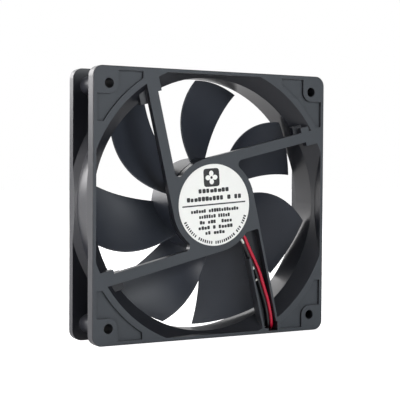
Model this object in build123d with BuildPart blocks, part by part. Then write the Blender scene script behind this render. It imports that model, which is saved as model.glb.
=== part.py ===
from build123d import *
from math import cos, pi, radians, sin, tan
import os

# A 120 mm axial case fan, in millimetres. The rotor's axis is Y and the origin is the frame's centre.
# The exhaust face, with the struts and the motor base, looks along -Y, and the intake face along +Y.

# Frame
frame_size = 120.0
frame_depth = 25.0
corner_radius = 4.5
exhaust_y = -frame_depth / 2
intake_y = frame_depth / 2
exhaust_flange = 4.8
intake_flange = 4.0
flange_edge_radius = 0.4
hole_pitch = 105.0
hole_radius = 2.15
post_outer_radius = 4.2

# Air duct
throat_radius = 57.3
barrel_radius = 59.2
exhaust_mouth_radius = 63.2
intake_mouth_radius = 63.2
exhaust_mouth_half_width = 58.4
intake_mouth_half_width = 59.2
barrel_flare = 2.8

# Corner pockets of the exhaust face
pocket_depth = 1.2
pocket_inner = 36.2
pocket_outer = 58.2
pocket_arc_radius = 66.0
pocket_boss_radius = 4.4

# Motor base and struts
base_radius = 21.3
base_plate = 1.5
base_depth = 3.4
base_wall = 1.6
label_radius = 18.4
label_recess = 0.3
label_thickness = 0.2
strut_angle = 13.4
strut_outer = 21.3
strut_inner = 16.6
strut_end = 62.5
strut_depth = 3.0
root_start = 55.2
root_inner = 14.8
strut_fillet = 2.2
block_start = 50.8
block_end = 58.0
block_outer = 24.9
block_recess = 2.4
step_start = 53.6
step_outer = 23.7

# Wire channel, which is the fourth strut
channel_inner = 12.4
channel_wall = 1.0
channel_depth = 4.4
channel_trench = 3.5
channel_start = 16.3
channel_wall_start = 28.7
channel_foot_z = -57.6
exit_left = 29.8
exit_right = 34.6
exit_low = -58.8
exit_high = -54.6

# Rotor
hub_radius = 21.1
hub_wall = 2.0
hub_open_y = -7.6
hub_closed_y = 9.8
hub_plate = 1.8
blade_count = 7
blade_tip_radius = 56.4
blade_root_radius = 20.0
blade_first_radius = 20.5
blade_thickness = 1.7
blade_edge = 0.7
blade_camber = 1.5

# Motor
shaft_radius = 1.5
running_clearance = 0.03
tube_radius = 4.0
tube_bore = 3.4
tube_start_y = -10.6
tube_end_y = 5.5
board_y = -9.4
board_thickness = 0.8
board_radius = 17.6
core_start_y = -4.5
core_end_y = 2.5
core_radius = 15.7
pole_count = 4
insulator_thickness = 1.0

# Leads
lead_diameter = 1.5
floor_z = -frame_size / 2
coil_x = 50.5
coil_y = 26.0
coil_radius = 9.0
coil_height = 5.25
coil_turns = 2.75
plug_x = 66.6
plug_y = 24.0
plug_length = 11.5
plug_width = 6.2
plug_height = 4.8

os.makedirs("parts", exist_ok=True)


def facing(y):
    """The plane at depth y that looks towards the exhaust side, with X to the right and Z up."""
    return Plane.XZ.offset(-y)


def save(piece, name):
    piece.part.label = name
    export_step(piece.part, f"parts/{name}.step")


def strut_point(along, across, angle):
    """A point along and across a strut whose outward direction is at angle from +X, as X and Z."""
    a = radians(angle)
    return (along * cos(a) - across * sin(a), along * sin(a) + across * cos(a))


def strut_outline(start, end, low, high, angle):
    return [
        strut_point(start, low, angle),
        strut_point(end, low, angle),
        strut_point(end, high, angle),
        strut_point(start, high, angle),
    ]


def ring(y_start, y_end, outer, inner):
    """A plain ring about the fan's axis, between two depths."""
    with BuildPart() as made:
        with BuildSketch(facing(y_start)):
            Circle(outer)
            if inner:
                Circle(inner, mode=Mode.SUBTRACT)
        extrude(amount=y_start - y_end)
    return made


# The air duct's bore: a straight throat with a 45 degree mouth at each face, and flat sides
throat_start_y = exhaust_y + exhaust_mouth_radius - throat_radius
throat_end_y = intake_y - intake_mouth_radius + throat_radius

with BuildPart() as duct_bore:
    with BuildSketch(Plane.XY):
        with BuildLine():
            Polyline(
                (0, exhaust_y),
                (exhaust_mouth_radius, exhaust_y),
                (throat_radius, throat_start_y),
                (throat_radius, throat_end_y),
                (intake_mouth_radius, intake_y),
                (0, intake_y),
                close=True,
            )
        make_face()
    revolve(axis=Axis.Y)

with BuildPart() as duct_limits:
    with BuildSketch(facing(exhaust_y)):
        Rectangle(2 * exhaust_mouth_half_width, 2 * exhaust_mouth_half_width)
    extrude(amount=exhaust_y)
    with BuildSketch(facing(0)):
        Rectangle(2 * intake_mouth_half_width, 2 * intake_mouth_half_width)
    extrude(amount=-intake_y)

# The barrel's outside, flared where it meets the flanges and no wider than the frame
front_back_y = exhaust_y + exhaust_flange
rear_front_y = intake_y - intake_flange

with BuildPart() as barrel_body:
    with BuildSketch(Plane.XY):
        with BuildLine():
            Polyline(
                (0, front_back_y),
                (barrel_radius + barrel_flare, front_back_y),
                (barrel_radius, front_back_y + barrel_flare),
                (barrel_radius, rear_front_y - barrel_flare),
                (barrel_radius + barrel_flare, rear_front_y),
                (0, rear_front_y),
                close=True,
            )
        make_face()
    revolve(axis=Axis.Y)
    Box(frame_size, frame_depth, frame_size, mode=Mode.INTERSECT)

# The motor base: a shallow dish with a socket for the bearing tube and three posts for the board
base_floor_y = exhaust_y + base_plate
socket_radius = 5.4
socket_end_y = -7.4
post_radius = 1.1
post_circle = 14.0

with BuildPart() as motor_base:
    with BuildSketch(facing(exhaust_y)):
        Circle(base_radius)
    extrude(amount=-base_depth)
    with BuildSketch(facing(base_floor_y)):
        Circle(base_radius - base_wall)
    extrude(amount=-base_depth, mode=Mode.SUBTRACT)
    with BuildSketch(facing(base_floor_y)):
        Circle(socket_radius)
    extrude(amount=base_floor_y - socket_end_y)
    with BuildSketch(facing(base_floor_y)):
        with PolarLocations(post_circle, 3, start_angle=30):
            Circle(post_radius)
    extrude(amount=base_floor_y - board_y)
    with BuildSketch(facing(exhaust_y)):
        Circle(label_radius + 0.1)
    extrude(amount=-label_recess, mode=Mode.SUBTRACT)
    with BuildSketch(facing(exhaust_y)):
        Circle(tube_bore)
    extrude(amount=-frame_depth, mode=Mode.SUBTRACT)
    with BuildSketch(facing(tube_start_y)):
        Circle(tube_radius)
    extrude(amount=-frame_depth, mode=Mode.SUBTRACT)

# Three plain struts, each tangent to the base, with a thicker root
plain_struts = [strut_angle, strut_angle + 90, strut_angle + 180]
channel_angle = strut_angle - 90

# Where each strut's inner side meets the base's rim
corner_along = (base_radius**2 - strut_inner**2) ** 0.5
strut_corners = [Vector(*strut_point(corner_along, strut_inner, angle)) for angle in plain_struts]

# Beside each root, a block set back from the exhaust face; the first also has a step level with it
with BuildPart() as root_blocks:
    with BuildSketch(facing(exhaust_y + block_recess)):
        for angle in plain_struts:
            with BuildLine():
                outline = strut_outline(block_start, block_end, strut_inner, block_outer, angle)
                Polyline(*outline, close=True)
            make_face()
    extrude(amount=block_recess - exhaust_flange)
    with BuildSketch(facing(exhaust_y)):
        with BuildLine():
            outline = strut_outline(step_start, block_end, strut_inner, step_outer, strut_angle)
            Polyline(*outline, close=True)
        make_face()
    extrude(amount=-strut_depth)

with BuildPart() as struts:
    with BuildSketch(facing(exhaust_y)) as strut_sketch:
        Circle(base_radius)
        for angle in plain_struts:
            with BuildLine():
                Polyline(*strut_outline(0, strut_end, strut_inner, strut_outer, angle), close=True)
            make_face()
            with BuildLine():
                Polyline(*strut_outline(root_start, strut_end, root_inner, strut_inner, angle), close=True)
            make_face()
        inner_corners = strut_sketch.vertices().filter_by(
            lambda v: min((Vector(v.X, v.Y) - corner).length for corner in strut_corners) < 0.01
        )
        fillet(inner_corners, strut_fillet)
        Circle(base_radius - base_wall, mode=Mode.SUBTRACT)
    extrude(amount=-strut_depth)

# The wire channel: a wider strut with a trench that runs on through the flange to the bottom edge
trench_low = channel_inner + channel_wall
trench_high = strut_outer - channel_wall - 0.1


def at_foot(across):
    """Where the line at this distance across the channel strut reaches the trench's lower end."""
    a = radians(channel_angle)
    along = (channel_foot_z - across * cos(a)) / sin(a)
    return strut_point(along, across, channel_angle)


with BuildPart() as channel_body:
    with BuildSketch(facing(exhaust_y)):
        with BuildLine():
            Polyline(*strut_outline(0, strut_end, channel_inner, strut_outer, channel_angle), close=True)
        make_face()
        Circle(base_radius - base_wall, mode=Mode.SUBTRACT)
    extrude(amount=-channel_depth)

with BuildPart() as channel_trench_cut:
    with BuildSketch(facing(exhaust_y)) as trench_sketch:
        with BuildLine():
            Polyline(
                strut_point(channel_start, trench_low, channel_angle),
                at_foot(trench_low),
                at_foot(trench_high),
                strut_point(channel_start, trench_high, channel_angle),
                close=True,
            )
        make_face()
        fillet(trench_sketch.vertices().sort_by(Axis.Y)[-2:], 0.9)
    extrude(amount=-channel_trench)
    with BuildSketch(facing(exhaust_y)):
        with BuildLine():
            low, high = channel_inner - 1, trench_low + 1
            Polyline(*strut_outline(channel_start, channel_wall_start, low, high, channel_angle), close=True)
        make_face()
        Circle(base_radius, mode=Mode.SUBTRACT)
    extrude(amount=-channel_trench)
    with BuildSketch(facing(exhaust_y)):
        with Locations(((exit_left + exit_right) / 2, (exit_low + exit_high) / 2)):
            Rectangle(exit_right - exit_left, exit_high - exit_low)
    extrude(amount=-exhaust_flange)

# The opening in the dish's wall where the two leads leave it, turned along their way
opening_middle = (15.8, -13.4)
opening_length = 6.4
opening_width = 4.2
with BuildPart() as lead_opening:
    with BuildSketch(facing(base_floor_y)):
        with Locations(opening_middle):
            Rectangle(opening_length, opening_width, rotation=channel_angle + 26)
    extrude(amount=base_floor_y - exhaust_y - channel_trench)

with BuildPart() as housing_frame:
    with BuildSketch(facing(exhaust_y)):
        RectangleRounded(frame_size, frame_size, corner_radius)
    extrude(amount=-exhaust_flange)
    with BuildSketch(facing(rear_front_y)):
        RectangleRounded(frame_size, frame_size, corner_radius)
    extrude(amount=-intake_flange)
    outer_edges = housing_frame.edges().filter_by_position(Axis.Y, exhaust_y, exhaust_y)
    outer_edges += housing_frame.edges().filter_by_position(Axis.Y, intake_y, intake_y)
    fillet(outer_edges, flange_edge_radius)
    add(barrel_body.part)
    with BuildSketch(facing(front_back_y)):
        with GridLocations(hole_pitch, hole_pitch, 2, 2):
            Circle(post_outer_radius)
    extrude(amount=front_back_y - rear_front_y)
    add(duct_bore.part.intersect(duct_limits.part), mode=Mode.SUBTRACT)
    with BuildSketch(facing(exhaust_y)):
        with GridLocations(hole_pitch, hole_pitch, 2, 2):
            Circle(hole_radius)
    extrude(amount=-frame_depth, mode=Mode.SUBTRACT)
    with BuildSketch(facing(exhaust_y)) as pocket_sketch:
        pocket_middle = (pocket_inner + pocket_outer) / 2
        with GridLocations(2 * pocket_middle, 2 * pocket_middle, 2, 2):
            Rectangle(pocket_outer - pocket_inner, pocket_outer - pocket_inner)
        Circle(pocket_arc_radius, mode=Mode.SUBTRACT)
        with GridLocations(hole_pitch, hole_pitch, 2, 2):
            Circle(pocket_boss_radius, mode=Mode.SUBTRACT)
        with GridLocations(hole_pitch + 10, hole_pitch + 10, 2, 2):
            Rectangle(10, 10 + 2 * pocket_boss_radius, mode=Mode.SUBTRACT)
            Rectangle(10 + 2 * pocket_boss_radius, 10, mode=Mode.SUBTRACT)
    extrude(amount=-pocket_depth, mode=Mode.SUBTRACT)
    add(motor_base.part)
    add(struts.part)
    add(root_blocks.part)
    add(channel_body.part)
    add(channel_trench_cut.part, mode=Mode.SUBTRACT)
    add(lead_opening.part, mode=Mode.SUBTRACT)
save(housing_frame, "housing_frame")

# Label, and the parts of the bearing
label_y = exhaust_y + label_recess
rating_label = ring(label_y - label_thickness, label_y, label_radius, 0)
save(rating_label, "rating_label")

bearing_cap = ring(label_y + 0.05, tube_start_y, tube_bore, 0)
save(bearing_cap, "bearing_cap")

bearing_tube = ring(tube_start_y, tube_end_y, tube_radius, tube_bore)
save(bearing_tube, "bearing_tube")

washer_y = tube_start_y + 0.6
thrust_washer = ring(tube_start_y, washer_y, tube_bore, 0)
save(thrust_washer, "thrust_washer")

bearing_start_y = -6.5
bearing_end_y = 3.5
with BuildPart() as sleeve_bearing:
    with BuildSketch(facing(bearing_start_y)):
        Circle(tube_bore)
        Circle(shaft_radius + running_clearance, mode=Mode.SUBTRACT)
    extrude(amount=bearing_start_y - bearing_end_y)
    round_edges = sleeve_bearing.edges().filter_by(GeomType.CIRCLE)
    chamfer(round_edges.filter_by(lambda e: e.radius > tube_bore - 0.1), 0.4)
save(sleeve_bearing, "sleeve_bearing")

# Stator: four salient poles, an insulator on each end and a coil on each pole
arm_width = 4.4
core_ring_radius = 6.6
pole_shoe = 2.4
shoe_gap_angle = 18.0


def pole_stack(y_start, y_end, reach, shrink):
    """The four-pole outline, between two depths."""
    with BuildPart() as made:
        with BuildSketch(facing(y_start)):
            Circle(reach)
            Circle(reach - pole_shoe + shrink, mode=Mode.SUBTRACT)
            with PolarLocations(reach, pole_count, start_angle=45):
                Rectangle(3 * pole_shoe, 2 * reach * sin(radians(shoe_gap_angle / 2)), mode=Mode.SUBTRACT)
            Circle(core_ring_radius)
            with PolarLocations((reach - 1) / 2, pole_count):
                Rectangle(reach - 1, arm_width)
            Circle(tube_radius, mode=Mode.SUBTRACT)
        extrude(amount=y_start - y_end)
    return made


stator_core = pole_stack(core_start_y, core_end_y, core_radius, 0)
save(stator_core, "stator_core")

insulator_front_y = core_start_y - insulator_thickness
insulator_rear_y = core_end_y + insulator_thickness
insulator_front = pole_stack(insulator_front_y, core_start_y, core_radius - 0.5, 0.8)
save(insulator_front, "insulator_front")
insulator_rear = pole_stack(core_end_y, insulator_rear_y, core_radius - 0.5, 0.8)
save(insulator_rear, "insulator_rear")

winding_inner = 7.0
winding_outer = 12.6
winding_build = 1.9
winding_half_height = (insulator_rear_y - insulator_front_y) / 2
winding_middle_y = (insulator_rear_y + insulator_front_y) / 2
for pole in range(pole_count):
    winding_plane = Plane(
        origin=(
            winding_inner * cos(radians(90 * pole)),
            winding_middle_y,
            winding_inner * sin(radians(90 * pole)),
        ),
        x_dir=(0, 1, 0),
        z_dir=(cos(radians(90 * pole)), 0, sin(radians(90 * pole))),
    )
    with BuildPart() as winding:
        with BuildSketch(winding_plane):
            RectangleRounded(
                2 * (winding_half_height + winding_build), arm_width + 2 * winding_build, winding_build - 0.2
            )
            Rectangle(2 * winding_half_height, arm_width, mode=Mode.SUBTRACT)
        extrude(amount=winding_outer - winding_inner)
    save(winding, f"winding_{pole + 1}")

# Circuit board, with its chip parts on the rotor side
board_back_y = board_y + board_thickness
pin_circle = 5.95
pin_half = 0.25

with BuildPart() as circuit_board:
    with BuildSketch(facing(board_y)):
        Circle(board_radius)
        Circle(socket_radius + 0.1, mode=Mode.SUBTRACT)
    extrude(amount=-board_thickness)
save(circuit_board, "circuit_board")

with BuildPart() as winding_pins:
    with BuildSketch(facing(board_back_y)):
        with PolarLocations(pin_circle, pole_count, start_angle=45):
            Rectangle(2 * pin_half, 2 * pin_half)
    extrude(amount=board_back_y - insulator_front_y)
save(winding_pins, "winding_pins")


def board_part(angle, circle, long, wide, high, name):
    """A chip part on the board's rotor side, its long way across the radius."""
    with BuildPart() as made:
        with BuildSketch(facing(board_back_y)):
            with PolarLocations(circle, 1, start_angle=angle):
                Rectangle(wide, long)
        extrude(amount=-high)
        chamfer(made.faces().sort_by(Axis.Y)[-1].edges(), 0.1)
    save(made, name)


board_part(100, 14.2, 4.0, 3.0, 0.9, "driver_chip")
board_part(150, 14.6, 2.0, 1.25, 0.8, "filter_capacitor")
board_part(195, 14.6, 2.7, 1.6, 0.9, "protection_diode")

with BuildPart() as board_resistors:
    with BuildSketch(facing(board_back_y)):
        with PolarLocations(14.6, 2, start_angle=55, angular_range=40):
            Rectangle(0.8, 1.6)
    extrude(amount=-0.45)
save(board_resistors, "board_resistors")

# Rotor: hub with seven blades. Each edge of a blade is given at its root, middle and tip,
# as the angle about the axis in degrees and the depth along it.
leading_edge = [(74.2, 7.0), (70.9, 8.9), (65.4, 9.4)]
trailing_edge = [(115.0, -6.6), (108.4, -2.8), (94.0, -1.8)]
section_angle = 84.0
section_offsets = [15.5, 23.5, 32.0, 40.5, 49.0, 58.5]


def edge_at(edge, radius):
    """The angle and depth of a blade's edge at a radius, on the curve through its three stations."""
    s = (radius - blade_first_radius) / (blade_tip_radius - blade_first_radius)
    root = (1 - s) * (1 - 2 * s)
    middle = 4 * s * (1 - s)
    tip = s * (2 * s - 1)
    return tuple(root * edge[0][k] + middle * edge[1][k] + tip * edge[2][k] for k in (0, 1))


def edge_on_section(edge, offset):
    """Where a blade's edge crosses a flat section at this offset from the axis, as across and depth."""
    radius = offset
    for _ in range(40):
        turn = radians(edge_at(edge, radius)[0] - section_angle)
        radius = offset / cos(turn)
    return offset * tan(turn), edge_at(edge, radius)[1]


def section_face(offset):
    """The blade's cambered section, bowed to the intake: two long arcs joined by small round edges."""
    (u1, y1), (u2, y2) = edge_on_section(leading_edge, offset), edge_on_section(trailing_edge, offset)
    start, end = Vector(u1, -y1), Vector(u2, -y2)
    along = (end - start).normalized()
    normal = Vector(along.Y, -along.X)
    if normal.Y > 0:
        normal = -normal
    half_edge = blade_edge / 2
    middle = (start + end) * 0.5
    back_middle = middle + normal * (blade_camber + blade_thickness / 2)
    face_middle = middle + normal * (blade_camber - blade_thickness / 2)
    ThreePointArc(start + normal * half_edge, back_middle, end + normal * half_edge)
    ThreePointArc(end + normal * half_edge, end + along * half_edge, end - normal * half_edge)
    ThreePointArc(end - normal * half_edge, face_middle, start - normal * half_edge)
    ThreePointArc(start - normal * half_edge, start - along * half_edge, start + normal * half_edge)


section_direction = (cos(radians(section_angle)), 0, sin(radians(section_angle)))
section_across = (-sin(radians(section_angle)), 0, cos(radians(section_angle)))
blade_limits = ring(exhaust_y, intake_y, blade_tip_radius, blade_root_radius)

with BuildPart() as blade:
    for offset in section_offsets:
        origin = tuple(offset * c for c in section_direction)
        with BuildSketch(Plane(origin=origin, x_dir=section_across, z_dir=section_direction)):
            with BuildLine():
                section_face(offset)
            make_face()
    loft()
    add(blade_limits.part, mode=Mode.INTERSECT)

yoke_radius = hub_radius - hub_wall
yoke_wall = 0.8
yoke_top_y = hub_closed_y - hub_plate
yoke_start_y = -7.1
bushing_radius = 3.6
bushing_start_y = 5.9
shaft_end_y = 9.0

hub_edge_radius = 1.5
hub_groove_outer = 17.0
hub_groove_inner = 16.2
hub_groove_depth = 0.3
with BuildPart() as impeller:
    with BuildSketch(facing(hub_open_y)):
        Circle(hub_radius)
    extrude(amount=hub_open_y - hub_closed_y)
    fillet(impeller.faces().sort_by(Axis.Y)[-1].edges(), hub_edge_radius)
    with BuildSketch(facing(hub_open_y)):
        Circle(yoke_radius)
    extrude(amount=hub_open_y - yoke_top_y, mode=Mode.SUBTRACT)
    with BuildSketch(facing(yoke_top_y)):
        Circle(bushing_radius)
    extrude(amount=yoke_top_y - shaft_end_y, mode=Mode.SUBTRACT)
    with BuildSketch(facing(hub_closed_y - hub_groove_depth)):
        Circle(hub_groove_outer)
        Circle(hub_groove_inner, mode=Mode.SUBTRACT)
    extrude(amount=-2 * hub_groove_depth, mode=Mode.SUBTRACT)
    for turn in range(blade_count):
        add(blade.part.rotate(Axis.Y, -turn * 360 / blade_count))
save(impeller, "impeller")

with BuildPart() as rotor_yoke:
    with BuildSketch(facing(yoke_start_y)):
        Circle(yoke_radius)
        Circle(yoke_radius - yoke_wall, mode=Mode.SUBTRACT)
    extrude(amount=yoke_start_y - yoke_top_y)
    with BuildSketch(facing(yoke_top_y - yoke_wall)):
        Circle(yoke_radius - yoke_wall)
        Circle(bushing_radius, mode=Mode.SUBTRACT)
    extrude(amount=-yoke_wall)
save(rotor_yoke, "rotor_yoke")

magnet_wall = 1.7
magnet_start_y = -6.9
magnet_end_y = 5.0
magnet_radius = yoke_radius - yoke_wall
ring_magnet = ring(magnet_start_y, magnet_end_y, magnet_radius, magnet_radius - magnet_wall)
save(ring_magnet, "ring_magnet")

shaft_bushing = ring(bushing_start_y, shaft_end_y, bushing_radius, shaft_radius)
save(shaft_bushing, "shaft_bushing")

shaft_tip_y = washer_y + 0.05
groove_y = -8.2
groove_width = 0.5
groove_radius = 1.1
clip_radius = 2.6
clip_slot = 0.8
shaft_tip_rounding = 0.7
with BuildPart() as shaft:
    with BuildSketch(facing(shaft_tip_y)):
        Circle(shaft_radius)
    extrude(amount=shaft_tip_y - shaft_end_y)
    fillet(shaft.edges().sort_by(Axis.Y)[0], shaft_tip_rounding)
    with BuildSketch(facing(groove_y)):
        Circle(shaft_radius)
        Circle(groove_radius, mode=Mode.SUBTRACT)
    extrude(amount=-groove_width, mode=Mode.SUBTRACT)
save(shaft, "shaft")

with BuildPart() as retaining_clip:
    with BuildSketch(facing(groove_y)):
        Circle(clip_radius)
        Circle(groove_radius, mode=Mode.SUBTRACT)
        with Locations((clip_radius / 2, 0)):
            Rectangle(clip_radius + 0.2, clip_slot, mode=Mode.SUBTRACT)
    extrude(amount=-groove_width)
save(retaining_clip, "retaining_clip")

slinger_start_y = 4.3
slinger_end_y = 4.9
slinger_radius = 2.9
slinger_washer = ring(slinger_start_y, slinger_end_y, slinger_radius, shaft_radius)
save(slinger_washer, "slinger_washer")

# Leads. Each route leaves the board, follows the channel, drops through the window in the flange,
# runs between the flanges to the frame's side and back to the coil behind it.
red_route = [
    (13.3, -10.2, -9.7),
    (16.9, -10.2, -13.9),
    (19.5, -10.3, -19.4),
    (22.8, -10.4, -25.7),
    (25.5, -10.5, -30.9),
    (27.8, -10.5, -37.6),
    (30.6, -10.4, -45.0),
    (32.1, -10.4, -51.6),
    (32.6, -10.3, -55.6),
    (33.3, -8.6, -57.7),
    (34.6, -5.2, -58.6),
    (39.0, -1.6, -59.2),
    (47.5, -0.4, -59.2),
    (56.6, 0.6, -59.2),
    (63.0, 5.6, -59.2),
    (64.0, 13.6, -59.2),
    (61.9, 19.8, -59.2),
    (60.5, 25.0, -59.2),
]
black_route = [
    (11.9, -10.2, -10.7),
    (15.4, -10.2, -14.8),
    (18.2, -10.1, -20.2),
    (21.4, -10.0, -26.5),
    (23.9, -10.1, -31.6),
    (26.2, -10.1, -38.1),
    (29.0, -10.1, -45.6),
    (30.5, -10.1, -52.0),
    (30.9, -10.0, -55.7),
    (31.5, -8.4, -57.7),
    (32.7, -4.8, -58.6),
    (37.6, 0.1, -59.2),
    (46.8, 1.4, -59.2),
    (55.4, 2.6, -59.2),
    (61.2, 6.6, -59.2),
    (62.2, 13.6, -59.2),
    (60.2, 19.4, -59.2),
    (58.8, 25.0, -59.2),
]
tail_start_z = floor_z + coil_height - lead_diameter
lead_gap = 0.8
red_tail = [
    (coil_x + 2.0, coil_y - coil_radius - lead_gap, tail_start_z),
    (56.6, 16.0, -55.9),
    (62.0, 15.9, -56.6),
    (66.8, 17.6, -57.5),
    (67.9, 21.0, -57.6),
    (67.6, plug_y, -57.6),
]
black_tail = [
    (coil_x + 2.0, coil_y - coil_radius + lead_gap, tail_start_z),
    (56.3, 17.7, -55.9),
    (61.2, 17.6, -56.6),
    (63.9, 18.1, -57.3),
    (65.6, 20.0, -57.6),
    (65.7, plug_y, -57.6),
]


def arc_radii(points):
    """One radius for each inner point, as large as its two runs allow."""
    places = [Vector(*p) for p in points]
    radii = []
    for before, at, after in zip(places, places[1:], places[2:]):
        turn = radians((at - before).get_angle(after - at))
        shorter = min((at - before).length, (after - at).length)
        radii.append(0.45 * shorter / tan(turn / 2))
    return radii


def lead_tube(points):
    radii = arc_radii(points)
    path = FilletPolyline(*points, radius=radii)
    start = Vector(*points[0])
    with BuildPart() as made:
        with BuildSketch(Plane(origin=start, z_dir=Vector(*points[1]) - start)):
            Circle(lead_diameter / 2)
        sweep(path=path)
    plain_volume = path.length * pi * lead_diameter**2 / 4
    print("length", round(path.length, 2), "volume share", round(made.part.volume / plain_volume, 4))
    print("radii", [round(r, 1) for r in radii])
    return made


save(lead_tube(red_route), "lead_red")
save(lead_tube(black_route), "lead_black")
save(lead_tube(red_tail), "lead_red_tail")
save(lead_tube(black_tail), "lead_black_tail")
print("turns of each lead", round(2 * pi * coil_radius * coil_turns, 2))

with BuildPart() as lead_coil:
    with BuildSketch(Plane.XY.offset(floor_z)):
        with Locations((coil_x, coil_y)):
            Circle(coil_radius + lead_diameter)
            Circle(coil_radius - lead_diameter, mode=Mode.SUBTRACT)
    extrude(amount=coil_height)
save(lead_coil, "lead_coil")

tie_width = 2.4
tie_thickness = 0.6
tie_rounding = 0.5
with BuildPart() as coil_tie:
    with BuildSketch(Plane.YZ.offset(coil_x - tie_width / 2)):
        with Locations((coil_y + coil_radius, floor_z + coil_height / 2)):
            RectangleRounded(2 * (lead_diameter + tie_thickness), coil_height, tie_rounding)
            Rectangle(2 * lead_diameter, coil_height - 2 * tie_thickness, mode=Mode.SUBTRACT)
    extrude(amount=tie_width)
save(coil_tie, "coil_tie")

# Two-way plug, lying on the floor beside the coil
pin_pitch = 2.5
cavity_size = 1.7
cavity_depth = 1.5
plug_chamfer = 0.3
latch_width = 3.4
latch_length = 3.0
latch_depth = 0.6
contact_size = 1.5
contact_bore = 0.9
contact_setback = 3.5
plug_middle_z = floor_z + plug_height / 2
with BuildPart() as connector_housing:
    with BuildSketch(Plane.XZ.offset(-plug_y)):
        with Locations((plug_x, plug_middle_z)):
            Rectangle(plug_width, plug_height)
    extrude(amount=-plug_length)
    chamfer(connector_housing.edges().filter_by(Axis.Y), plug_chamfer)
    with BuildSketch(Plane.XZ.offset(-plug_y - cavity_depth)):
        with Locations((plug_x, plug_middle_z)):
            with GridLocations(pin_pitch, 1, 2, 1):
                Rectangle(cavity_size, cavity_size)
    extrude(amount=-plug_length, mode=Mode.SUBTRACT)
    with BuildSketch(Plane.XY.offset(floor_z + plug_height)):
        with Locations((plug_x, plug_y + plug_length * 0.6)):
            Rectangle(latch_width, latch_length)
    extrude(amount=-latch_depth, mode=Mode.SUBTRACT)
save(connector_housing, "connector_housing")

with BuildPart() as connector_contacts:
    with BuildSketch(Plane.XZ.offset(-plug_y - cavity_depth)):
        with Locations((plug_x, plug_middle_z)):
            with GridLocations(pin_pitch, 1, 2, 1):
                Rectangle(contact_size, contact_size)
                Rectangle(contact_bore, contact_bore, mode=Mode.SUBTRACT)
    extrude(amount=contact_setback - plug_length)
save(connector_contacts, "connector_contacts")

# Solder joints where the leads meet the board, and the dabs that hold them in the channel
solder_size = 1.3
solder_height = 0.7
with BuildPart() as lead_solder_joints:
    for x, _, z in (red_route[0], black_route[0]):
        with Locations((x - 0.4, board_y - solder_height / 2, z + 0.5)):
            Box(solder_size, solder_height, solder_size)
save(lead_solder_joints, "lead_solder_joints")

# Each dab is given by its middle and its radius.
dabs = [((15.6, -10.9, -16.9), 0.8), ((21.9, -10.9, -29.4), 0.5), ((23.6, -10.9, -35.0), 0.5)]
with BuildPart() as adhesive_dabs:
    for middle, dab_radius in dabs:
        with Locations(middle):
            Sphere(dab_radius)
save(adhesive_dabs, "adhesive_dabs")
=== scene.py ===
import bpy
import math
import numpy as np
from mathutils import Matrix, Vector


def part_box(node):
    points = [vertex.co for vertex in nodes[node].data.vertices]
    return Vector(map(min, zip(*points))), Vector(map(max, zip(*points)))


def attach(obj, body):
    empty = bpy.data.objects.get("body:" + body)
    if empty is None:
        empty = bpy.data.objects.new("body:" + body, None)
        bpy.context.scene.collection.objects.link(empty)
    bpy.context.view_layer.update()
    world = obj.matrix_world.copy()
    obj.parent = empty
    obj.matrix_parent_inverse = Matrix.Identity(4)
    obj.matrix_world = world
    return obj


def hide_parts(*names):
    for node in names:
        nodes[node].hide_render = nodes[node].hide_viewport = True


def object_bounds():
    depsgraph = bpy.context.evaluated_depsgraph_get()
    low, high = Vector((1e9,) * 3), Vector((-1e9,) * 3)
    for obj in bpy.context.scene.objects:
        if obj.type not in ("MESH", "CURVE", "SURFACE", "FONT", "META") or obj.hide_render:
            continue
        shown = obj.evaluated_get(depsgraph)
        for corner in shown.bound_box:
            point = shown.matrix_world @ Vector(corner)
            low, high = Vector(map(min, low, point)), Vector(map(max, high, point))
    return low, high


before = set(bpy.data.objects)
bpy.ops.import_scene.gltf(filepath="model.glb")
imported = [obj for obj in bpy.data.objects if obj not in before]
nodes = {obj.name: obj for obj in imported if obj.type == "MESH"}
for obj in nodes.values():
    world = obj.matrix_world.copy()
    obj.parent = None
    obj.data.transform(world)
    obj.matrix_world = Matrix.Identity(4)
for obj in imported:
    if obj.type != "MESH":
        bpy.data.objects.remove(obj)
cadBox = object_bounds()
mm = 0.001
print("frame loaded:", len(nodes), "nodes")

cameraSetup = {
    "place": (-0.26134, -0.45052, 0.0166),  # metres
    "yaw": 30.082,  # degrees from +Y towards +X
    "pitch": -1.622,  # below the horizon
    "roll": 0.36,
    "lens": 102.19,  # mm on a 36 mm sensor
}


def makeCamera(setup):
    yaw, pitch, roll = (math.radians(setup[k]) for k in ("yaw", "pitch", "roll"))
    ahead = Vector((math.sin(yaw) * math.cos(pitch), math.cos(yaw) * math.cos(pitch), math.sin(pitch)))
    level = Vector((math.cos(yaw), -math.sin(yaw), 0))
    above = level.cross(ahead)
    right = math.cos(roll) * level + math.sin(roll) * above
    up = math.cos(roll) * above - math.sin(roll) * level
    turn = Matrix((right, up, -ahead)).transposed().to_4x4()
    data = bpy.data.cameras.new("camera")
    data.sensor_width = 36
    data.lens = setup["lens"]
    data.clip_start, data.clip_end = 0.01, 20
    camera = bpy.data.objects.new("camera", data)
    camera.matrix_world = Matrix.Translation(setup["place"]) @ turn
    bpy.context.scene.collection.objects.link(camera)
    bpy.context.scene.camera = camera


makeCamera(cameraSetup)
print("camera placed")


def meshPiece(name, points, faces, smooth=False):
    mesh = bpy.data.meshes.new(name)
    mesh.from_pydata(np.asarray(points, float).tolist(), [], faces)
    mesh.validate()
    mesh.shade_smooth() if smooth else mesh.shade_flat()
    piece = bpy.data.objects.new(name, mesh)
    bpy.context.scene.collection.objects.link(piece)
    return piece


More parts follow.
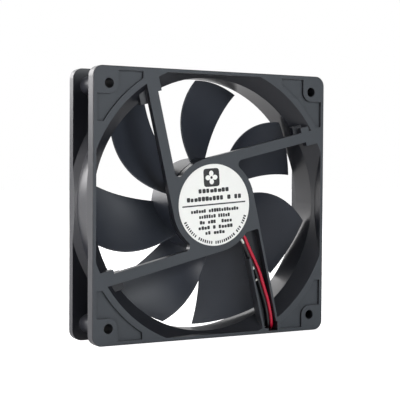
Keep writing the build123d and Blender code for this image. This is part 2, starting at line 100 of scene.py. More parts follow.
def gridFaces(rows, columns, loopRows=False, loopColumns=False, start=0):
    # quads between neighbouring points of a grid, which may close on itself either way
    r = np.arange(rows if loopRows else rows - 1)
    c = np.arange(columns if loopColumns else columns - 1)
    r, c = (a.ravel() for a in np.meshgrid(r, c, indexing="ij"))
    rNext, cNext = (r + 1) % rows, (c + 1) % columns
    quads = np.stack([r * columns + c, r * columns + cNext, rNext * columns + cNext, rNext * columns + c], 1)
    return (quads + start).tolist()


leadSize = {"diameter": 1.5 * mm, "length": 0.28, "pointsPerTurn": 16, "turns": 2.75, "rise": 1.5}
coilPlace = {"x": 50.5, "y": 26.0, "floor": -59.2}

redLead = {
    "turnRadius": 9.8,
    "route": [
        (13.3, -10.2, -9.7), (16.9, -10.2, -13.9), (19.5, -10.3, -19.4), (22.8, -10.4, -25.7),
        (25.5, -10.5, -30.9), (27.8, -10.5, -37.6), (30.6, -10.4, -45.0), (32.1, -10.4, -51.6),
        (32.6, -10.3, -55.6), (33.3, -8.6, -57.7), (34.6, -5.2, -58.6), (39.0, -1.6, -59.2),
        (47.5, -0.4, -59.2), (56.6, 0.6, -59.2), (63.0, 5.6, -59.2), (64.0, 13.6, -59.2),
        (61.9, 19.8, -59.2),
    ],
    "tail": [
        (52.5, 16.2, -55.2), (56.6, 16.0, -55.9), (62.0, 15.9, -56.6), (66.8, 17.6, -57.5),
        (67.9, 21.0, -57.6), (67.6, 24.0, -57.6),
    ],
}
blackLead = {
    "turnRadius": 8.2,
    "route": [
        (11.9, -10.2, -10.7), (15.4, -10.2, -14.8), (18.2, -10.1, -20.2), (21.4, -10.0, -26.5),
        (23.9, -10.1, -31.6), (26.2, -10.1, -38.1), (29.0, -10.1, -45.6), (30.5, -10.1, -52.0),
        (30.9, -10.0, -55.7), (31.5, -8.4, -57.7), (32.7, -4.8, -58.6), (37.6, 0.1, -59.2),
        (46.8, 1.4, -59.2), (55.4, 2.6, -59.2), (61.2, 6.6, -59.2), (62.2, 13.6, -59.2),
        (60.2, 19.4, -59.2),
    ],
    "tail": [
        (52.5, 17.8, -55.2), (56.3, 17.7, -55.9), (61.2, 17.6, -56.6), (63.9, 18.1, -57.3),
        (65.6, 20.0, -57.6), (65.7, 24.0, -57.6),
    ],
}


def coilTurns(turnRadius):
    # a helix: the angle grows evenly and the height with it; the control points stand a little
    # outside the turn, because the spline runs inside its control polygon
    count = leadSize["pointsPerTurn"]
    total = int(leadSize["turns"] * count)
    turn = np.arange(total + 1) / count
    angle = 2 * np.pi * turn
    reach = turnRadius / math.cos(math.pi / count)
    x = coilPlace["x"] + reach * np.cos(angle)
    y = coilPlace["y"] + reach * np.sin(angle)
    return np.stack([x, y, coilPlace["floor"] + leadSize["rise"] * turn], 1)


def makeLead(name, lead, *stoodFor):
    points = np.vstack([lead["route"], coilTurns(lead["turnRadius"]), lead["tail"]]) * mm
    curve = bpy.data.curves.new(name, "CURVE")
    curve.dimensions = "3D"
    spline = curve.splines.new("NURBS")
    spline.points.add(len(points) - 1)
    spline.points.foreach_set("co", np.hstack([points, np.ones((len(points), 1))]).ravel())
    spline.points.foreach_set("radius", np.full(len(points), leadSize["diameter"] / 2))
    spline.order_u = 3
    spline.use_endpoint_u = True
    spline.resolution_u = 6
    curve.bevel_depth = 1.0  # times the points' own radius, which also keeps the curve's box tight
    curve.bevel_resolution = 4
    curve.use_fill_caps = True
    piece = bpy.data.objects.new(name, curve)
    bpy.context.scene.collection.objects.link(piece)
    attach(piece, "stator")
    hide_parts(*stoodFor)
    return piece


redPiece = makeLead("red_lead", redLead, "lead_red", "lead_red_tail", "lead_coil")
blackPiece = makeLead("black_lead", blackLead, "lead_black", "lead_black_tail", "lead_coil")
print("leads laid")


coilStrap = {
    "width": 2.4, "thickness": 0.55, "halfLong": 1.9, "halfHigh": 2.55,  # mm
    "fromCoil": 9.0,  # mm from the coil's middle to the strap's
    "ribs": 7, "ribHeight": 0.12,  # share of the thickness
    "crown": 0.35,  # how much thinner the lips are than the middle
    "squareness": 0.42,  # of the outline: an ellipse at 1, a rectangle at 0
    "stations": 72, "acrossCount": 9,
}


def makeStrap(setup):
    # a band carried round a rounded rectangle: at each station of the outline, a section of
    # inner edge, outer edge and two crowned lips across the width
    count, wide = setup["stations"], setup["acrossCount"]
    station = np.linspace(0, 2 * np.pi, count, endpoint=False)
    power = setup["squareness"]
    shapeC = np.sign(np.cos(station)) * np.abs(np.cos(station)) ** power
    shapeS = np.sign(np.sin(station)) * np.abs(np.sin(station)) ** power
    across = np.linspace(-1, 1, wide)
    crown = 1 - setup["crown"] * across**4
    ribbed = np.abs(across) < 0.6  # the lips stay smooth
    rib = 1 + setup["ribHeight"] * np.cos(setup["ribs"] * 4 * station)[:, None] * ribbed
    middleY = coilPlace["y"] + setup["fromCoil"]
    middleZ = cadBox[0].z / mm + setup["halfHigh"] + 0.02  # just clear of the floor
    innerHigh = setup["halfHigh"] - setup["thickness"]
    innerY, innerZ = (shapeC * setup["halfLong"])[:, None], (shapeS * innerHigh)[:, None]
    innerParts = (across * setup["width"] / 2, innerY, innerZ)
    inner = np.stack([np.broadcast_to(part, (count, wide)) for part in innerParts], 2)
    grow = setup["thickness"] * crown * rib / (1 + setup["ribHeight"])
    outY = shapeC[:, None] * (setup["halfLong"] + grow)
    outZ = shapeS[:, None] * np.minimum(innerHigh + grow, setup["halfHigh"])
    outer = np.stack([np.broadcast_to(across * setup["width"] / 2, (count, wide)), outY, outZ], 2)
    ring = np.concatenate([inner, outer[:, ::-1]], 1)
    points = ring.reshape(-1, 3) + (coilPlace["x"], middleY, middleZ)
    return meshPiece("coil_strap", points * mm, gridFaces(count, 2 * wide, True, True), True)


strap = makeStrap(coilStrap)
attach(strap, "stator")
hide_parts("coil_tie")


# small pale blobs along the black lead's left side: painted highlights of the glossy lead, given as lumps
highlightBlobs = {
    "places": [(15.7, -11.0, -16.7), (21.9, -10.9, -29.4), (23.6, -10.9, -35.0)],
    "sizes": [(0.6, 0.6, 1.75), (0.5, 0.45, 0.8), (0.75, 0.45, 0.45)],
    "lean": 30,  # degrees, along the channel
    "rings": 15, "spokes": 24,
    "seed": 5,
}


def makeDabs(setup):
    # each dab is an ellipsoid whose radius swells and dips with three slow waves of random phase
    random = np.random.default_rng(setup["seed"])
    rings, spokes = setup["rings"], setup["spokes"]
    down = np.linspace(0, np.pi, rings + 2)[1:-1]
    v, u = np.meshgrid(down, np.linspace(0, 2 * np.pi, spokes, endpoint=False), indexing="ij")
    lean = math.radians(setup["lean"])
    allPoints, allFaces = [], []
    for place, size in zip(setup["places"], setup["sizes"]):
        phase = random.uniform(0, 2 * np.pi, 3)
        swell = 1 + 0.12 * np.sin(2 * u + phase[0]) * np.sin(v)
        swell += 0.08 * np.sin(3 * u + phase[1]) * np.sin(v) ** 2
        swell += 0.06 * np.cos(2 * v + phase[2])
        x = size[0] * swell * np.sin(v) * np.cos(u)
        y = size[1] * swell * np.sin(v) * np.sin(u)
        z = size[2] * swell * np.cos(v)
        ends = np.array([(0, 0, size[2]), (0, 0, -size[2])])
        dab = np.vstack([np.stack([x, y, z], 2).reshape(-1, 3), ends])
        dab = np.stack([dab[:, 0] * math.cos(lean) - dab[:, 2] * math.sin(lean), dab[:, 1],
                        dab[:, 0] * math.sin(lean) + dab[:, 2] * math.cos(lean)], 1)
        start = sum(len(p) for p in allPoints)
        top, last = start + rings * spokes, start + (rings - 1) * spokes
        allFaces += [f[::-1] for f in gridFaces(rings, spokes, False, True, start)]
        allFaces += [(start + k, start + (k + 1) % spokes, top) for k in range(spokes)]
        allFaces += [(last + (k + 1) % spokes, last + k, top + 1) for k in range(spokes)]
        allPoints.append(dab + place)
    return meshPiece("lead_highlight_blobs", np.vstack(allPoints) * mm, allFaces, True)


dabs = makeDabs(highlightBlobs)
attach(dabs, "stator")
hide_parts("adhesive_dabs")
print("strap and adhesive made")


labelPrint = {
    "tilt": 4.0,  # degrees anticlockwise
    "ink": 0.012,  # mm that the ink stands proud
    "badge": {
        "middle": (-0.8, 12.4), "half": 4.1, "squareness": 7, "points": 96,
        "blades": 4, "bladeLength": 3.1, "bladeRoot": 0.9, "bladeFullness": 0.7, "dot": 0.62},
    # rows of plain marks: left end, right end, middle height, mark height, number of marks
    "rows": [
        (-8.0, 8.0, 6.6, 1.9, 8), (-14.2, 14.4, 3.1, 2.0, 15), (-12.4, 12.6, -2.3, 1.6, 19),
        (-8.4, 7.8, -4.9, 1.6, 13), (-8.2, 8.8, -7.4, 1.6, 12), (-9.0, 9.0, -9.9, 1.6, 12),
        (-5.6, 4.6, -12.3, 1.6, 7),
    ],
    "gaps": {1: (10, 12), 2: (6,), 3: (7,), 4: (2, 6, 7), 5: (4, 6), 6: (2,)},  # marks left out, by row
    "rule": (-16.6, 16.4, 0.3, 0.6),
    "arc": {"radius": 16.9, "start": 204, "end": 342, "height": 1.35, "marks": 36, "gaps": (8, 16, 27, 31)},
    "seed": 11,
}


def barOutline(left, right, low, high):
    # a rectangle with small cut corners, counter-clockwise seen from the front
    cut = min(right - left, high - low) * 0.18
    return np.array([
        (left + cut, low), (right - cut, low), (right, low + cut), (right, high - cut),
        (right - cut, high), (left + cut, high), (left, high - cut), (left, low + cut),
    ])


def badgeOutlines(badge):
    # the ink lies between a rounded square and a pale shape of leaves, with a dark dot in the middle:
    # the square's reach is half / (|cos|^n + |sin|^n)^(1/n), and a leaf's grows from root to length
    angle = np.linspace(0, 2 * np.pi, badge["points"], endpoint=False)
    c, s = np.cos(angle), np.sin(angle)
    n, root = badge["squareness"], badge["bladeRoot"]
    square = badge["half"] / (np.abs(c) ** n + np.abs(s) ** n) ** (1 / n)
    blade = np.abs(np.cos(badge["blades"] * angle / 2)) ** badge["bladeFullness"]
    leaf = root + (badge["bladeLength"] - root) * blade
    outer = np.stack([square * c, square * s], 1) + badge["middle"]
    inner = np.stack([leaf * c, leaf * s], 1) + badge["middle"]
    dot = badge["dot"] * np.stack([c[::6], s[::6]], 1) + badge["middle"]
    return outer, inner, dot


def makeLabelPrint(setup):
    random = np.random.default_rng(setup["seed"])
    outlines = []
    for row, (left, right, middle, height, count) in enumerate(setup["rows"]):
        pitch = (right - left) / count
        for k in range(count):
            if k in setup["gaps"].get(row, ()):
                continue
            start = left + k * pitch + 0.06 * pitch
            width = pitch * random.uniform(0.76, 0.94)
            tall = height * random.choice([0.8, 1.0, 1.0])
            low = middle - height / 2
            outlines.append(barOutline(start, start + width, low, low + tall))
    left, right, middle, height = setup["rule"]
    outlines.append(barOutline(left, right, middle - height / 2, middle + height / 2))
    arc = setup["arc"]
    step = math.radians(arc["end"] - arc["start"]) / arc["marks"]
    for k in range(arc["marks"]):
        if k in arc["gaps"]:
            continue
        a = math.radians(arc["start"]) + k * step
        width = arc["radius"] * step * random.uniform(0.5, 0.72)
        bar = barOutline(-width / 2, width / 2, -arc["height"] / 2, arc["height"] / 2)
        outlines.append(np.stack([
            arc["radius"] * math.cos(a) - bar[:, 0] * math.sin(a) - bar[:, 1] * math.cos(a),
            arc["radius"] * math.sin(a) + bar[:, 0] * math.cos(a) - bar[:, 1] * math.sin(a)], 1))
    outer, inner, dot = badgeOutlines(setup["badge"])
    outlines.append(dot)

    points, faces = [], []
    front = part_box("rating_label")[0].y / mm
    turn = math.radians(setup["tilt"])

    def place(flat, y):
        return np.stack([flat[:, 0] * math.cos(turn) - flat[:, 1] * math.sin(turn), np.full(len(flat), y),
                         flat[:, 0] * math.sin(turn) + flat[:, 1] * math.cos(turn)], 1)

    for outline in outlines:  # each mark is a thin plate: its front face and its rim
        start, n = sum(map(len, points)), len(outline)
        points += [place(outline, front - setup["ink"]), place(outline, front)]
        faces.append(list(range(start, start + n)))
        faces += [(start + n + k, start + n + (k + 1) % n, start + (k + 1) % n, start + k) for k in range(n)]
        faces.append(list(range(start + 2 * n - 1, start + n - 1, -1)))
    start, n = sum(map(len, points)), len(outer)
    inkFront = front - setup["ink"]
    points += [place(outer, inkFront), place(inner, inkFront), place(inner, front), place(outer, front)]
    faces += gridFaces(4, n, True, True, start)
    return meshPiece("label_print", np.vstack(points) * mm, faces)


labelInk = makeLabelPrint(labelPrint)
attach(labelInk, "stator")
print("label printed")


def effectGroup(name, inputs, outputs):
    # a new node group with named inputs (name, default) and outputs (name, kind)
    group = bpy.data.node_groups.new(name, "ShaderNodeTree")
    for label, value in inputs:
        kind = "NodeSocketColor" if isinstance(value, tuple) else "NodeSocketFloat"
        socket = group.interface.new_socket(label, in_out="INPUT", socket_type=kind)
        socket.default_value = value
    for label, kind in outputs:
        group.interface.new_socket(label, in_out="OUTPUT", socket_type=kind)
    return group, group.nodes.new("NodeGroupInput"), group.nodes.new("NodeGroupOutput")


def mathNode(tree, operation, a, b=None, clamp=False):
    node = tree.nodes.new("ShaderNodeMath")
    node.operation = operation
    node.use_clamp = clamp
    for socket, value in zip(node.inputs, (a, b)):
        if isinstance(value, bpy.types.NodeSocket):
            tree.links.new(value, socket)
        elif value is not None:
            socket.default_value = value
    return node.outputs[0]


def noiseNode(tree, scale, detail=2.0, rough=0.5, stretch=None):
    vector = tree.nodes.new("ShaderNodeTexCoord").outputs["Object"]
    if stretch is not None:
        mapping = tree.nodes.new("ShaderNodeMapping")
        mapping.inputs["Scale"].default_value = stretch
        tree.links.new(vector, mapping.inputs["Vector"])
        vector = mapping.outputs[0]
    noise = tree.nodes.new("ShaderNodeTexNoise")
    noise.inputs["Detail"].default_value = detail
    noise.inputs["Roughness"].default_value = rough
    tree.links.new(vector, noise.inputs["Vector"])
    if isinstance(scale, bpy.types.NodeSocket):
        tree.links.new(scale, noise.inputs["Scale"])
    else:
        noise.inputs["Scale"].default_value = scale
    return noise.outputs["Fac"]


def mixColour(tree, factor, a, b):
    mix = tree.nodes.new("ShaderNodeMix")
    mix.data_type = "RGBA"
    for socket, value in ((mix.inputs[0], factor), (mix.inputs[6], a), (mix.inputs[7], b)):
        if isinstance(value, bpy.types.NodeSocket):
            tree.links.new(value, socket)
        else:
            socket.default_value = value
    return mix.outputs[2]


def edgeWearGroup():
    # mask of convex and concave edges: how far the rounded normal leans from the flat one,
    # broken up by noise so that the wear comes and goes
    group, given, result = effectGroup(
        "edge wear", [("Width", 0.0004), ("Breakup", 300.0), ("Gain", 3.0)], [("Mask", "NodeSocketFloat")])
    bevel = group.nodes.new("ShaderNodeBevel")
    bevel.samples = 4
    group.links.new(given.outputs["Width"], bevel.inputs["Radius"])
    flat = group.nodes.new("ShaderNodeNewGeometry")
    dot = group.nodes.new("ShaderNodeVectorMath")
    dot.operation = "DOT_PRODUCT"
    group.links.new(bevel.outputs[0], dot.inputs[0])
    group.links.new(flat.outputs["Normal"], dot.inputs[1])
    lean = mathNode(group, "SUBTRACT", 1.0, dot.outputs["Value"])
    strong = mathNode(group, "MULTIPLY", lean, given.outputs["Gain"], clamp=True)
    patchy = mathNode(group, "MULTIPLY", noiseNode(group, given.outputs["Breakup"], 3.0), 1.4, clamp=True)
    group.links.new(mathNode(group, "MULTIPLY", strong, patchy, clamp=True), result.inputs["Mask"])
    return group


def grainGroup():
    # fine moulded grain: small noise over a slower one, as a height and as a tone
    group, given, result = effectGroup(
        "fine grain", [("Scale", 2500.0)], [("Height", "NodeSocketFloat"), ("Tone", "NodeSocketFloat")])
    fine = noiseNode(group, given.outputs["Scale"], 3.0, 0.6)
    slow = noiseNode(group, mathNode(group, "MULTIPLY", given.outputs["Scale"], 0.02), 4.0, 0.6)
    height = mathNode(group, "ADD", fine, mathNode(group, "MULTIPLY", slow, 0.3))
    group.links.new(height, result.inputs["Height"])
    fineShare = mathNode(group, "MULTIPLY", fine, 0.4)
    tone = mathNode(group, "ADD", fineShare, mathNode(group, "MULTIPLY", slow, 0.6))
    group.links.new(tone, result.inputs["Tone"])
    return group


def dustGroup():
    # dust mask: more on faces that look up, thinned out by noise, with a few sparse specks
    group, given, result = effectGroup(
        "dust", [("Amount", 0.2), ("Specks", 700.0)], [("Mask", "NodeSocketFloat")])
    geometry = group.nodes.new("ShaderNodeNewGeometry")
    parts = group.nodes.new("ShaderNodeSeparateXYZ")
    group.links.new(geometry.outputs["Normal"], parts.inputs[0])
    upward = mathNode(group, "MAXIMUM", mathNode(group, "MULTIPLY", parts.outputs["Z"], 0.9), 0.12)
    patchy = mathNode(group, "MULTIPLY", noiseNode(group, 60.0, 4.0, 0.65), 1.2)
    speck = mathNode(group, "GREATER_THAN", noiseNode(group, given.outputs["Specks"], 1.0), 0.74)
    cloud = mathNode(group, "MULTIPLY", upward, mathNode(group, "ADD", patchy, speck))
    mask = mathNode(group, "MULTIPLY", cloud, given.outputs["Amount"], clamp=True)
    group.links.new(mask, result.inputs["Mask"])
    return group


effects = {"wear": edgeWearGroup(), "grain": grainGroup(), "dust": dustGroup()}
print("shared effects built")


def placeEffect(tree, name, **values):
    node = tree.nodes.new("ShaderNodeGroup")
    node.node_tree = effects[name]
    for label, value in values.items():
        node.inputs[label].default_value = value
    return node


# each finish: colour, its lighter and darker tone, roughness and its spread, grain height in mm
# and grain scale, edge wear colour with its strength and width in mm, dust, and the shader's constants
finishes = {
    "frame plastic": {
        "colour": (0.011, 0.012, 0.016), "tone": 0.12, "rough": (0.32, 0.08), "grain": (0.006, 2600),
        "wear": ((0.10, 0.10, 0.108), 0.5, 0.3), "dust": 0.03, "round": 0.25, "specular": 0.45,
        "faces": ((0.039, 0.045, 0.053), 0.60)},
    "impeller plastic": {
        "colour": (0.022, 0.026, 0.036), "tone": 0.14, "rough": (0.38, 0.08), "grain": (0.008, 3200),
        "wear": ((0.07, 0.07, 0.078), 0.4, 0.3), "dust": 0.03, "round": 0.25, "specular": 0.42},
    "label film": {
        "colour": (0.86, 0.86, 0.83), "tone": 0.03, "rough": (0.38, 0.08), "grain": (0.004, 1800),
        "wear": ((0.60, 0.60, 0.58), 0.5, 0.15), "dust": 0.0, "specular": 0.5, "coat": 0.15},
    "label ink": {
        "colour": (0.012, 0.012, 0.014), "tone": 0.3, "rough": (0.40, 0.10), "grain": (0.003, 4000)},
    "cap rubber": {
        "colour": (0.02, 0.02, 0.021), "tone": 0.2, "rough": (0.75, 0.1), "grain": (0.03, 1500),
        "wear": ((0.06, 0.06, 0.06), 0.4, 0.3), "dust": 0.1},
    "tube brass": {
        "colour": (0.72, 0.50, 0.20), "tone": 0.12, "rough": (0.30, 0.12), "grain": (0.004, 900),
        "wear": ((0.85, 0.68, 0.36), 0.6, 0.2), "metal": 1.0, "stretch": (1, 14, 1)},
    "sintered bronze": {
        "colour": (0.42, 0.25, 0.11), "tone": 0.3, "rough": (0.55, 0.15), "grain": (0.03, 5000),
        "wear": ((0.62, 0.42, 0.22), 0.5, 0.15), "metal": 0.9},
    "washer nylon": {
        "colour": (0.76, 0.75, 0.70), "tone": 0.08, "rough": (0.42, 0.08), "grain": (0.006, 1600),
        "wear": ((0.9, 0.9, 0.86), 0.4, 0.15), "specular": 0.5},
    "core steel": {
        "colour": (0.30, 0.30, 0.31), "tone": 0.35, "rough": (0.45, 0.15), "grain": (0.03, 2200),
        "wear": ((0.6, 0.6, 0.6), 0.6, 0.15), "metal": 0.9, "layers": 0.5},
    "insulator nylon": {
        "colour": (0.70, 0.68, 0.60), "tone": 0.08, "rough": (0.40, 0.08), "grain": (0.008, 1500),
        "wear": ((0.85, 0.84, 0.78), 0.4, 0.2), "specular": 0.5},
    "enamelled wire": {
        "colour": (0.48, 0.17, 0.055), "tone": 0.25, "rough": (0.25, 0.1), "grain": (0.01, 1800),
        "wear": ((0.68, 0.32, 0.14), 0.5, 0.2), "metal": 0.75, "coat": 0.6, "turns": 0.24},
    "board laminate": {
        "colour": (0.02, 0.13, 0.055), "tone": 0.2, "rough": (0.32, 0.1), "grain": (0.006, 2200),
        "wear": ((0.25, 0.28, 0.14), 0.8, 0.12), "coat": 0.3, "tracks": (0.03, 0.22, 0.09)},
    "chip epoxy": {
        "colour": (0.015, 0.015, 0.016), "tone": 0.3, "rough": (0.6, 0.1), "grain": (0.01, 5000),
        "wear": ((0.08, 0.08, 0.08), 0.5, 0.08)},
    "capacitor ceramic": {
        "colour": (0.32, 0.21, 0.11), "tone": 0.15, "rough": (0.5, 0.1), "grain": (0.008, 4000),
        "wear": ((0.6, 0.58, 0.54), 0.8, 0.12)},
    "tinned contact": {
        "colour": (0.62, 0.61, 0.58), "tone": 0.15, "rough": (0.28, 0.12), "grain": (0.006, 2500),
        "wear": ((0.8, 0.78, 0.72), 0.5, 0.08), "metal": 1.0},
    "solder": {
        "colour": (0.60, 0.60, 0.61), "tone": 0.2, "rough": (0.24, 0.14), "grain": (0.02, 1800),
        "wear": ((0.75, 0.75, 0.76), 0.4, 0.1), "metal": 1.0},
    "red sheath": {
        "colour": (0.52, 0.006, 0.036), "tone": 0.12, "rough": (0.30, 0.08), "grain": (0.005, 1600),
        "dust": 0.03, "specular": 0.5, "coat": 0.3},
    "black sheath": {
        "colour": (0.010, 0.010, 0.011), "tone": 0.2, "rough": (0.34, 0.08), "grain": (0.005, 1600),
        "dust": 0.05, "specular": 0.5, "coat": 0.2},
    "plug nylon": {
        "colour": (0.72, 0.70, 0.62), "tone": 0.08, "rough": (0.45, 0.08), "grain": (0.008, 1500),
        "wear": ((0.86, 0.85, 0.80), 0.5, 0.2), "dust": 0.04},
    # the blobs' pale colour is a painted highlight on the black lead
    "adhesive": {
        "colour": (0.74, 0.71, 0.62), "tone": 0.12, "rough": (0.35, 0.1), "grain": (0.02, 900),
        "specular": 0.5, "soft": 0.15},
    "strap rubber": {
        "colour": (0.018, 0.018, 0.019), "tone": 0.2, "rough": (0.6, 0.1), "grain": (0.02, 1800),
        "wear": ((0.07, 0.07, 0.07), 0.4, 0.15), "dust": 0.08},
    "yoke steel": {
        "colour": (0.42, 0.42, 0.43), "tone": 0.15, "rough": (0.34, 0.12), "grain": (0.006, 700),
        "wear": ((0.65, 0.65, 0.65), 0.5, 0.2), "metal": 1.0, "stretch": (1, 12, 1)},
    "magnet ferrite": {
        "colour": (0.035, 0.033, 0.032), "tone": 0.3, "rough": (0.7, 0.1), "grain": (0.02, 2600),
        "wear": ((0.10, 0.095, 0.09), 0.5, 0.2)},
    "shaft steel": {
        "colour": (0.60, 0.60, 0.61), "tone": 0.06, "rough": (0.16, 0.08), "grain": (0.002, 800),
        "wear": ((0.75, 0.75, 0.75), 0.4, 0.1), "metal": 1.0, "stretch": (1, 16, 1)},
}


# flat faces nearer the middle plane than this keep the dark polished colour: painted shade in sunk places
# such as the lead channel's floor
recessShadeLimit = 11.0  # mm from the fan's middle plane, along its axis


def makeFinish(name, look):
    material = bpy.data.materials.new(name)
    material.use_nodes = True
    tree = material.node_tree
    shader = tree.nodes["Principled BSDF"]
    spread = look["tone"]
    grainHeight, grainScale = look["grain"]
    grain = placeEffect(tree, "grain", Scale=float(grainScale))
    tone, height = grain.outputs["Tone"], grain.outputs["Height"]
    if "stretch" in look:  # drawn or turned metal: fine lines round the fan's axis
        lines = noiseNode(tree, float(grainScale), 3.0, 0.6, stretch=look["stretch"])
        toneShare = mathNode(tree, "MULTIPLY", tone, 0.4)
        tone = mathNode(tree, "ADD", toneShare, mathNode(tree, "MULTIPLY", lines, 0.6))
        height = mathNode(tree, "ADD", height, lines)
    contrast = mathNode(tree, "MULTIPLY", mathNode(tree, "SUBTRACT", tone, 0.3), 2.5, clamp=True)
    darker, lighter = ((*[min(c * k, 1) for c in look["colour"]], 1) for k in (1 - spread, 1 + spread))
    colour = mixColour(tree, contrast, darker, lighter)
    if "faces" in look:
        # the flat outer faces across the axis are textured and lighter, and the rest of the moulding is
        # polished:
        # a normal within about 20 degrees of the axis counts as flat. Flat faces sunk nearer the middle
        # plane than the limit, such as the lead channel's floor, keep the darker colour as painted shade
        faceColour, faceRough = look["faces"]
        parts = tree.nodes.new("ShaderNodeSeparateXYZ")
        tree.links.new(tree.nodes.new("ShaderNodeNewGeometry").outputs["Normal"], parts.inputs[0])
        across = mathNode(tree, "ABSOLUTE", parts.outputs["Y"])
        flat = mathNode(tree, "MULTIPLY", mathNode(tree, "SUBTRACT", across, 0.94), 25.0, clamp=True)
        where = tree.nodes.new("ShaderNodeSeparateXYZ")
        tree.links.new(tree.nodes.new("ShaderNodeTexCoord").outputs["Object"], where.inputs[0])
        fromMiddle = mathNode(tree, "ABSOLUTE", where.outputs["Y"])
        # faces sunk short of the depth limit get no lighter face colour: painted shade of the recess
        outside = mathNode(tree, "GREATER_THAN", fromMiddle, recessShadeLimit * mm)
        face = mathNode(tree, "MULTIPLY", flat, outside)
        faceDark, faceLight = ((*[c * k for c in faceColour], 1) for k in (1 - spread, 1 + spread))
        colour = mixColour(tree, face, colour, mixColour(tree, contrast, faceDark, faceLight))
    if "layers" in look or "turns" in look:  # laminations or wire turns stacked along the axis
        wave = tree.nodes.new("ShaderNodeTexWave")
        wave.bands_direction = "Y"
        wave.inputs["Scale"].default_value = 0.1 / (look.get("layers") or look["turns"]) / mm * math.pi
        wave.inputs["Distortion"].default_value = 0.4 if "turns" in look else 0.05
        wave.inputs["Detail"].default_value = 1.0
        tree.links.new(tree.nodes.new("ShaderNodeTexCoord").outputs["Object"], wave.inputs["Vector"])
        height = mathNode(tree, "ADD", height, mathNode(tree, "MULTIPLY", wave.outputs["Fac"], 3.0))
        colour = mixColour(tree, mathNode(tree, "MULTIPLY", wave.outputs["Fac"], 0.5), darker, colour)
    if "tracks" in look:  # copper tracks under the lacquer, as soft-edged cells
        cells = tree.nodes.new("ShaderNodeTexVoronoi")
        cells.feature = "DISTANCE_TO_EDGE"
        cells.inputs["Scale"].default_value = 300
        tree.links.new(tree.nodes.new("ShaderNodeTexCoord").outputs["Object"], cells.inputs["Vector"])
        track = mathNode(tree, "GREATER_THAN", cells.outputs["Distance"], 0.09)
        colour = mixColour(tree, track, colour, (*look["tracks"], 1))
        height = mathNode(tree, "ADD", height, mathNode(tree, "MULTIPLY", track, 0.8))
    if "wear" in look:
        wearColour, strength, width = look["wear"]
        wear = placeEffect(tree, "wear", Width=width * mm)
        mask = mathNode(tree, "MULTIPLY", wear.outputs["Mask"], strength)
        colour = mixColour(tree, mask, colour, (*wearColour, 1))
    if look.get("dust"):
        dust = placeEffect(tree, "dust", Amount=look["dust"])
        colour = mixColour(tree, dust.outputs["Mask"], colour, (0.42, 0.41, 0.38, 1))
    tree.links.new(colour, shader.inputs["Base Color"])
    middle, swing = look["rough"]
    swung = mathNode(tree, "MULTIPLY", mathNode(tree, "SUBTRACT", tone, 0.5), 2 * swing)
    rough = mathNode(tree, "ADD", swung, middle)
    if "faces" in look:
        rough = mathNode(tree, "ADD", rough, mathNode(tree, "MULTIPLY", face, faceRough - middle))
    tree.links.new(rough, shader.inputs["Roughness"])
    bump = tree.nodes.new("ShaderNodeBump")
    bump.inputs["Strength"].default_value = 1.0
    bump.inputs["Distance"].default_value = grainHeight * mm
    tree.links.new(height, bump.inputs["Height"])
    if "round" in look:  # edges catch the light as if slightly rounded
        rounding = tree.nodes.new("ShaderNodeBevel")
        rounding.samples = 4
        rounding.inputs["Radius"].default_value = look["round"] * mm
        tree.links.new(rounding.outputs[0], bump.inputs["Normal"])
    tree.links.new(bump.outputs[0], shader.inputs["Normal"])
    shader.inputs["Metallic"].default_value = look.get("metal", 0.0)
    shader.inputs["Specular IOR Level"].default_value = look.get("specular", 0.5)
    shader.inputs["Coat Weight"].default_value = look.get("coat", 0.0)
    shader.inputs["Subsurface Weight"].default_value = look.get("soft", 0.0)
    return material


materials = {name: makeFinish(name, look) for name, look in finishes.items()}
finishOf = {
    "housing_frame": "frame plastic", "impeller": "impeller plastic", "rating_label": "label film",
    "bearing_cap": "cap rubber", "bearing_tube": "tube brass", "shaft_bushing": "tube brass",
    "sleeve_bearing": "sintered bronze", "thrust_washer": "washer nylon", "slinger_washer": "washer nylon",
    "retaining_clip": "washer nylon", "stator_core": "core steel", "insulator_front": "insulator nylon",
    "insulator_rear": "insulator nylon", "winding_1": "enamelled wire", "winding_2": "enamelled wire",
    "winding_3": "enamelled wire", "winding_4": "enamelled wire", "circuit_board": "board laminate",
    "driver_chip": "chip epoxy", "protection_diode": "chip epoxy", "board_resistors": "chip epoxy",
    "filter_capacitor": "capacitor ceramic", "winding_pins": "tinned contact",
    "connector_contacts": "tinned contact", "lead_solder_joints": "solder", "rotor_yoke": "yoke steel",
    "ring_magnet": "magnet ferrite", "shaft": "shaft steel", "connector_housing": "plug nylon",
}
for piece, finish in [(nodes[n], f) for n, f in finishOf.items()] + [
    (redPiece, "red sheath"), (blackPiece, "black sheath"), (strap, "strap rubber"),
    (dabs, "adhesive"), (labelInk, "label ink"),
]:
    piece.data.materials.clear()
    piece.data.materials.append(materials[finish])
print("finishes given:", len(materials))

studio = {
    "floorHalf": 3.0, "floorColour": (0.80, 0.80, 0.80), "floorGlow": 0.8,
    "backdrop": (-0.55, 0.83, 0.0),  # the bright side of the room, seen from the fan
    "bright": 0.9, "dim": 0.07,
    # each light: place, width, height, watts, colour
    "lights": [
        ((-0.55, 1.00, 0.42), 1.0, 0.6, 10.0, (1.0, 0.98, 0.985)),
        ((-1.10, 0.10, 0.40), 0.5, 0.5, 15.0, (1.0, 0.97, 0.975)),
        ((-0.95, -0.55, 0.02), 0.22, 0.2, 2.2, (1.0, 1.0, 1.0)),
        ((0.30, -1.30, 0.50), 0.9, 0.8, 12.0, (0.95, 0.98, 1.0)),
        ((0.25, 0.75, 0.60), 0.6, 0.4, 1.5, (1.0, 1.0, 1.0)),
    ],
}


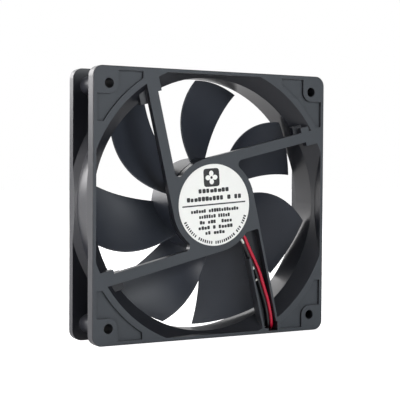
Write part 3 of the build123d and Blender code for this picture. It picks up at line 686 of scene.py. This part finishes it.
def makeFloor(setup):
    half, low = setup["floorHalf"], cadBox[0].z
    corners = [(-half, -half, low), (half, -half, low), (half, half, low), (-half, half, low)]
    floor = meshPiece("floor", corners, [(0, 1, 2, 3)])
    paper = bpy.data.materials.new("floor paper")
    paper.use_nodes = True
    tree = paper.node_tree
    shader = tree.nodes["Principled BSDF"]
    shader.inputs["Base Color"].default_value = (*setup["floorColour"], 1)
    shader.inputs["Roughness"].default_value = 0.9
    shader.inputs["Specular IOR Level"].default_value = 0.1
    glow, out = tree.nodes.new("ShaderNodeEmission"), tree.nodes["Material Output"]
    path, add = tree.nodes.new("ShaderNodeLightPath"), tree.nodes.new("ShaderNodeAddShader")
    seenGlow = mathNode(tree, "MULTIPLY", path.outputs["Is Camera Ray"], setup["floorGlow"])
    tree.links.new(seenGlow, glow.inputs["Strength"])
    tree.links.new(shader.outputs[0], add.inputs[0])
    tree.links.new(glow.outputs[0], add.inputs[1])
    tree.links.new(add.outputs[0], out.inputs["Surface"])
    floor.data.materials.append(paper)


def makeRoom(setup):
    # the room is plain white to look at; as a light it is bright on the backdrop's side and
    # dim elsewhere, by how closely a direction agrees with the backdrop's
    world = bpy.data.worlds.new("studio")
    bpy.context.scene.world = world
    world.use_nodes = True
    tree = world.node_tree
    tree.nodes.clear()
    agree = tree.nodes.new("ShaderNodeVectorMath")
    agree.operation = "DOT_PRODUCT"
    agree.inputs[1].default_value = setup["backdrop"]
    tree.links.new(tree.nodes.new("ShaderNodeTexCoord").outputs["Generated"], agree.inputs[0])
    spread = tree.nodes.new("ShaderNodeMapRange")
    spread.interpolation_type = "SMOOTHSTEP"
    limits = {"From Min": -0.05, "From Max": 0.6, "To Min": setup["dim"], "To Max": setup["bright"]}
    for label, value in limits.items():
        spread.inputs[label].default_value = value
    tree.links.new(agree.outputs["Value"], spread.inputs["Value"])
    path = tree.nodes.new("ShaderNodeLightPath")
    seen, lit = tree.nodes.new("ShaderNodeBackground"), tree.nodes.new("ShaderNodeBackground")
    seen.inputs["Color"].default_value = lit.inputs["Color"].default_value = (1, 1, 1, 1)
    tree.links.new(spread.outputs["Result"], lit.inputs["Strength"])
    mix, out = tree.nodes.new("ShaderNodeMixShader"), tree.nodes.new("ShaderNodeOutputWorld")
    tree.links.new(path.outputs["Is Camera Ray"], mix.inputs[0])
    tree.links.new(lit.outputs[0], mix.inputs[1])
    tree.links.new(seen.outputs[0], mix.inputs[2])
    tree.links.new(mix.outputs[0], out.inputs[0])


def makeLights(setup):
    for k, (place, width, height, watts, colour) in enumerate(setup["lights"]):
        data = bpy.data.lights.new(f"softbox {k + 1}", "AREA")
        data.shape = "RECTANGLE"
        data.size, data.size_y, data.energy, data.color = width, height, watts, colour
        lamp = bpy.data.objects.new(data.name, data)
        lamp.location = place
        lamp.rotation_euler = (-Vector(place)).to_track_quat("-Z", "Y").to_euler()
        bpy.context.scene.collection.objects.link(lamp)


makeFloor(studio)
makeRoom(studio)
makeLights(studio)
bpy.context.scene.view_settings.view_transform = "Standard"
print("studio lit")
